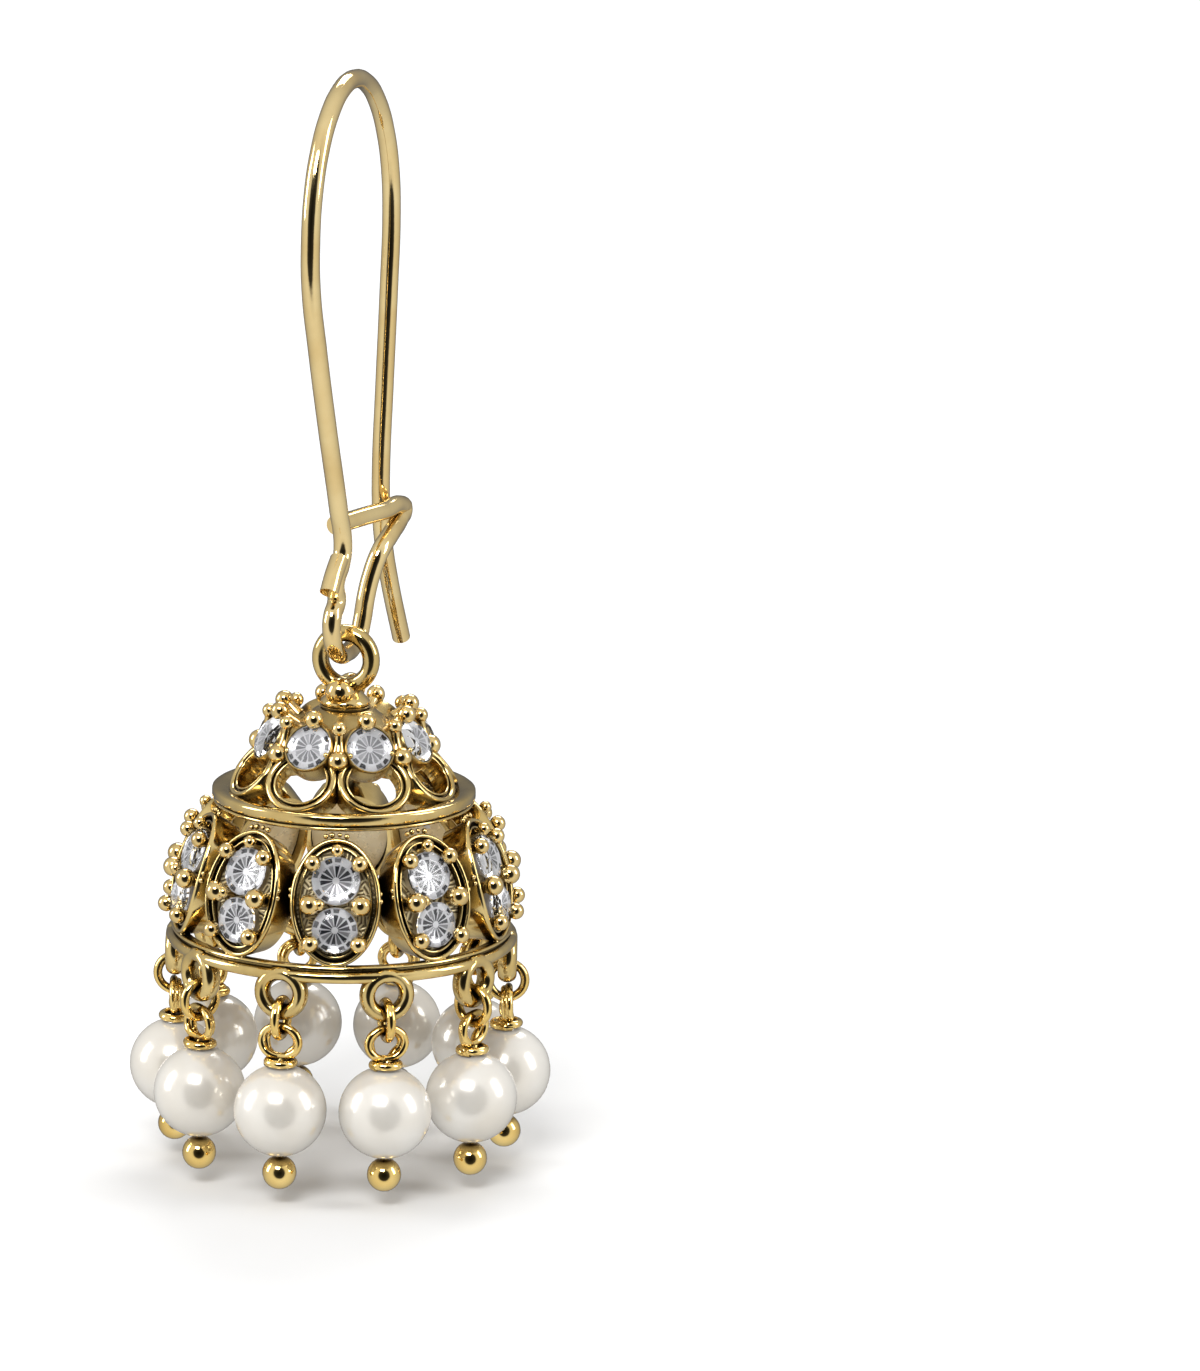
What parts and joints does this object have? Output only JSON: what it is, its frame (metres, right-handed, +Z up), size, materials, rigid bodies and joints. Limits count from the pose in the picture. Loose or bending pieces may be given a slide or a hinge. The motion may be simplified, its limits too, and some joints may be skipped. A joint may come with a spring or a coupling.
{
  "type": "jhumka earring",
  "caption": "Jhumka drop earring: an openwork metal bell set with round clear stones, a crown of stones above it and pearl drops under its rim, hung on a bent ear wire",
  "frame": {"origin": "middle of the wire at the top of the ear wire's arch, where the wire hangs in the ear lobe", "axes": "+Z up with the earring hanging straight down; the ear wire lies in the YZ plane with its front leg at -Y and its free end at +Y; +X to the right of a person who looks along +Y"},
  "size_m": [0.0222, 0.023, 0.0594],
  "materials": {
    "wire_gold": "polished pale gold plate",
    "antique_gold": "antiqued gold plate, dark in the recesses",
    "bright_gold": "polished yellow gold plate",
    "pearl": "pearl lustre",
    "crystal": "clear, cut and foiled"
  },
  "bodies": {
    "hook": {"ear_hook": "wire_gold"},
    "bell": {"bell": "antique_gold", "crown_stone_1": "crystal", "crown_stone_2": "crystal", "crown_stone_3": "crystal", "crown_stone_4": "crystal", "crown_stone_5": "crystal", "crown_stone_6": "crystal", "crown_stone_7": "crystal", "crown_stone_8": "crystal", "jump_ring_1": "bright_gold", "jump_ring_2": "bright_gold", "jump_ring_3": "bright_gold", "jump_ring_4": "bright_gold", "jump_ring_5": "bright_gold", "jump_ring_6": "bright_gold", "jump_ring_7": "bright_gold", "jump_ring_8": "bright_gold", "jump_ring_9": "bright_gold", "jump_ring_10": "bright_gold", "head_pin_1": "bright_gold", "head_pin_2": "bright_gold", "head_pin_3": "bright_gold", "head_pin_4": "bright_gold", "head_pin_5": "bright_gold", "head_pin_6": "bright_gold", "head_pin_7": "bright_gold", "head_pin_8": "bright_gold", "head_pin_9": "bright_gold", "head_pin_10": "bright_gold", "pearl_1": "pearl", "pearl_2": "pearl", "pearl_3": "pearl", "pearl_4": "pearl", "pearl_5": "pearl", "pearl_6": "pearl", "pearl_7": "pearl", "pearl_8": "pearl", "pearl_9": "pearl", "pearl_10": "pearl"}
  },
  "joints": [
    {"name": "bell_swing", "type": "hinge", "parent": "hook", "child": "bell", "pos_m": [0, 0, -0.0312], "axis": [0, 1, 0], "range_deg": [-90, 90]}
  ]
}
